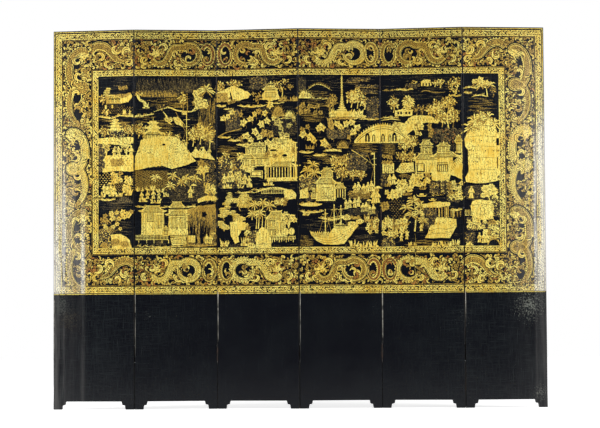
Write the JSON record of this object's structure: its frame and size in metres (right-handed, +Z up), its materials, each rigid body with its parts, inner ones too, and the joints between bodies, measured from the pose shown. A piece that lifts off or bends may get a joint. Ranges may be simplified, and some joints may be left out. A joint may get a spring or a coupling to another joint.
{
  "type": "folding screen",
  "caption": "Tall folding room screen of hinged black lacquer leaves with gilt decoration, standing in a shallow zigzag on bracket feet.",
  "frame": {"origin": "centre of the floor footprint of the standing screen, on the floor", "axes": "+X along the width of the screen, to the right seen from its front; +Y towards its back; +Z up"},
  "size_m": [2.723, 0.0764, 2.1],
  "materials": {
    "lacquered_wood": "softwood boards under black lacquer",
    "lacquer": "polished black lacquer ground with worn gilding",
    "iron": "dark wrought iron"
  },
  "bodies": {
    "leaf_1": {"leaf_1_left_board": "lacquered_wood", "leaf_1_middle_board": "lacquered_wood", "leaf_1_right_board": "lacquered_wood", "leaf_1_top_clamp": "lacquered_wood", "leaf_1_foot_rail": "lacquered_wood", "leaf_1_front_lacquer": "lacquer", "leaf_1_back_lacquer": "lacquer", "leaf_1_hinge_plates": "iron", "leaf_1_hinge_nails": "iron", "seam_1_hinge_pins": "iron"},
    "leaf_2": {"leaf_2_left_board": "lacquered_wood", "leaf_2_middle_board": "lacquered_wood", "leaf_2_right_board": "lacquered_wood", "leaf_2_top_clamp": "lacquered_wood", "leaf_2_foot_rail": "lacquered_wood", "leaf_2_front_lacquer": "lacquer", "leaf_2_back_lacquer": "lacquer", "leaf_2_hinge_plates": "iron", "leaf_2_hinge_nails": "iron", "seam_2_hinge_pins": "iron"},
    "leaf_3": {"leaf_3_left_board": "lacquered_wood", "leaf_3_middle_board": "lacquered_wood", "leaf_3_right_board": "lacquered_wood", "leaf_3_top_clamp": "lacquered_wood", "leaf_3_foot_rail": "lacquered_wood", "leaf_3_front_lacquer": "lacquer", "leaf_3_back_lacquer": "lacquer", "leaf_3_hinge_plates": "iron", "leaf_3_hinge_nails": "iron", "seam_3_hinge_pins": "iron"},
    "leaf_4": {"leaf_4_left_board": "lacquered_wood", "leaf_4_middle_board": "lacquered_wood", "leaf_4_right_board": "lacquered_wood", "leaf_4_top_clamp": "lacquered_wood", "leaf_4_foot_rail": "lacquered_wood", "leaf_4_front_lacquer": "lacquer", "leaf_4_back_lacquer": "lacquer", "leaf_4_hinge_plates": "iron", "leaf_4_hinge_nails": "iron", "seam_4_hinge_pins": "iron"},
    "leaf_5": {"leaf_5_left_board": "lacquered_wood", "leaf_5_middle_board": "lacquered_wood", "leaf_5_right_board": "lacquered_wood", "leaf_5_top_clamp": "lacquered_wood", "leaf_5_foot_rail": "lacquered_wood", "leaf_5_front_lacquer": "lacquer", "leaf_5_back_lacquer": "lacquer", "leaf_5_hinge_plates": "iron", "leaf_5_hinge_nails": "iron", "seam_5_hinge_pins": "iron"},
    "leaf_6": {"leaf_6_left_board": "lacquered_wood", "leaf_6_middle_board": "lacquered_wood", "leaf_6_right_board": "lacquered_wood", "leaf_6_top_clamp": "lacquered_wood", "leaf_6_foot_rail": "lacquered_wood", "leaf_6_front_lacquer": "lacquer", "leaf_6_back_lacquer": "lacquer", "leaf_6_hinge_plates": "iron", "leaf_6_hinge_nails": "iron"}
  },
  "joints": [
    {"name": "seam_1_fold", "type": "hinge", "parent": "leaf_2", "child": "leaf_1", "pos_m": [-0.90835, -0.01604, 0], "axis": [0, 0, -1], "range_deg": [-14, 166]},
    {"name": "seam_2_fold", "type": "hinge", "parent": "leaf_3", "child": "leaf_2", "pos_m": [-0.45417, 0.01604, 0], "axis": [0, 0, 1], "range_deg": [-14, 166]},
    {"name": "seam_3_fold", "type": "hinge", "parent": "leaf_3", "child": "leaf_4", "pos_m": [0, -0.01604, 0], "axis": [0, 0, 1], "range_deg": [-14, 166]},
    {"name": "seam_4_fold", "type": "hinge", "parent": "leaf_4", "child": "leaf_5", "pos_m": [0.45417, 0.01604, 0], "axis": [0, 0, -1], "range_deg": [-14, 166]},
    {"name": "seam_5_fold", "type": "hinge", "parent": "leaf_5", "child": "leaf_6", "pos_m": [0.90835, -0.01604, 0], "axis": [0, 0, 1], "range_deg": [-14, 166]}
  ]
}
